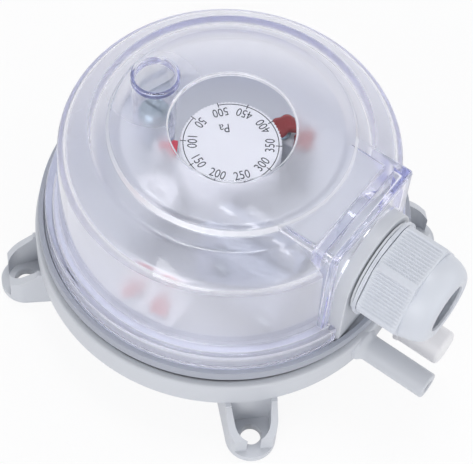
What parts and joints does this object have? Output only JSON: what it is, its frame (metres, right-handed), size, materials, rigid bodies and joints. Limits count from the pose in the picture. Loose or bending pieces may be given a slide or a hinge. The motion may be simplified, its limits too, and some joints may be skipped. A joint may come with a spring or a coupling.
{
  "type": "differential pressure switch",
  "caption": "Air differential pressure switch with a setting dial under a clear screw-down cover, cable gland, two hose nozzles and mounting cups.",
  "frame": {"origin": "centre of the flat back face that lies on the wall or duct", "axes": "+Z away from the mounting face along the dial's axis, -Y towards the cable gland and the two hose nozzles, +X to the right seen from the gland side"},
  "size_m": [0.085, 0.1015, 0.0566],
  "materials": {
    "grey_housing": "fine moulded texture",
    "clear_cover": "clear polycarbonate, polished window and fine frosted rest",
    "zinc_steel": "zinc plated",
    "white_plastic": "satin",
    "dark_rubber": "matt",
    "silicone": "matt",
    "aluminium_plate": "pressed",
    "dial_white": "satin",
    "index_red": "glossy",
    "switch_grey": "satin",
    "tinned_brass": "tinned",
    "red_lacquer": "dried lacquer",
    "gland_plastic": "fine moulded texture",
    "natural_cap": "soft translucent"
  },
  "bodies": {
    "housing": {"lower_housing": "grey_housing", "upper_housing": "grey_housing", "housing_screw_1": "zinc_steel", "housing_screw_2": "zinc_steel", "housing_screw_3": "zinc_steel", "housing_screw_4": "zinc_steel", "cover_gasket": "dark_rubber", "diaphragm": "silicone", "index_pointer": "index_red", "microswitch_body": "switch_grey", "switch_screw_1": "zinc_steel", "switch_screw_2": "zinc_steel", "terminal_closed": "tinned_brass", "terminal_common": "tinned_brass", "terminal_open": "tinned_brass", "trim_plate": "white_plastic", "trim_plate_screw_1": "zinc_steel", "trim_plate_screw_2": "zinc_steel", "lacquer_dot_1": "index_red", "lacquer_dot_2": "index_red", "stop_screw_1": "zinc_steel", "stop_screw_2": "zinc_steel", "lacquer_seal_1": "red_lacquer", "lacquer_seal_2": "red_lacquer", "gland_body": "gland_plastic", "gland_gasket": "dark_rubber", "gland_seal": "dark_rubber", "gland_claws": "gland_plastic"},
    "dial": {"setting_knob": "dial_white"},
    "seat": {"spring_seat": "white_plastic", "setting_spring": "zinc_steel"},
    "diaphragm_set": {"upper_diaphragm_plate": "white_plastic", "lower_diaphragm_plate": "aluminium_plate", "diaphragm_stem": "zinc_steel"},
    "lever": {"switch_lever": "zinc_steel"},
    "button": {"switch_button": "index_red"},
    "adjuster": {"range_adjuster": "white_plastic"},
    "cover": {"clear_cover": "clear_cover", "cover_screw": "zinc_steel", "screw_washer": "white_plastic"},
    "nut": {"gland_nut": "gland_plastic"},
    "cap": {"port_cap": "natural_cap"}
  },
  "joints": [
    {"name": "dial_turn", "type": "hinge", "parent": "housing", "child": "dial", "pos_m": [0, 0, 0.04], "axis": [0, 0, 1], "range_deg": [-292.5, 31.5]},
    {"name": "seat_slide", "type": "slide", "parent": "housing", "child": "seat", "axis": [0, 0, 1], "range_m": [-0.00326, 0.00036], "deforming": ["setting_spring"]},
    {"name": "diaphragm_lift", "type": "slide", "parent": "housing", "child": "diaphragm_set", "axis": [0, 0, 1], "range_m": [-0.0005, 0.0005], "stiffness_N_per_m": 1200, "deforming": ["diaphragm"]},
    {"name": "lever_tilt", "type": "hinge", "parent": "housing", "child": "lever", "pos_m": [-0.015, -0.02521, 0.0274], "axis": [1, 0, 0], "range_deg": [-2.2, 2.2]},
    {"name": "button_press", "type": "slide", "parent": "housing", "child": "button", "axis": [0, 0, 1], "range_m": [-0.0004, 0.0004]},
    {"name": "adjuster_turn", "type": "hinge", "parent": "housing", "child": "adjuster", "pos_m": [-0.0148, 0.0084, 0.04], "axis": [0, 0, 1], "range_deg": [-150, 150]},
    {"name": "cover_lift", "type": "slide", "parent": "housing", "child": "cover", "axis": [0, 0, 1], "range_m": [0, 0.06]},
    {"name": "nut_turn", "type": "hinge", "parent": "housing", "child": "nut", "pos_m": [0, -0.05, 0.0402], "axis": [0, -1, 0], "continuous": true},
    {"name": "cap_pull", "type": "slide", "parent": "housing", "child": "cap", "axis": [0, -1, 0], "range_m": [0, 0.016]}
  ],
  "couplings": [
    {"joint": "seat_slide", "follows": "dial_turn", "m_per_rad": 0.000637},
    {"joint": "lever_tilt", "follows": "diaphragm_lift", "rad_per_m": 71.43},
    {"joint": "button_press", "follows": "diaphragm_lift", "ratio": 0.714}
  ]
}
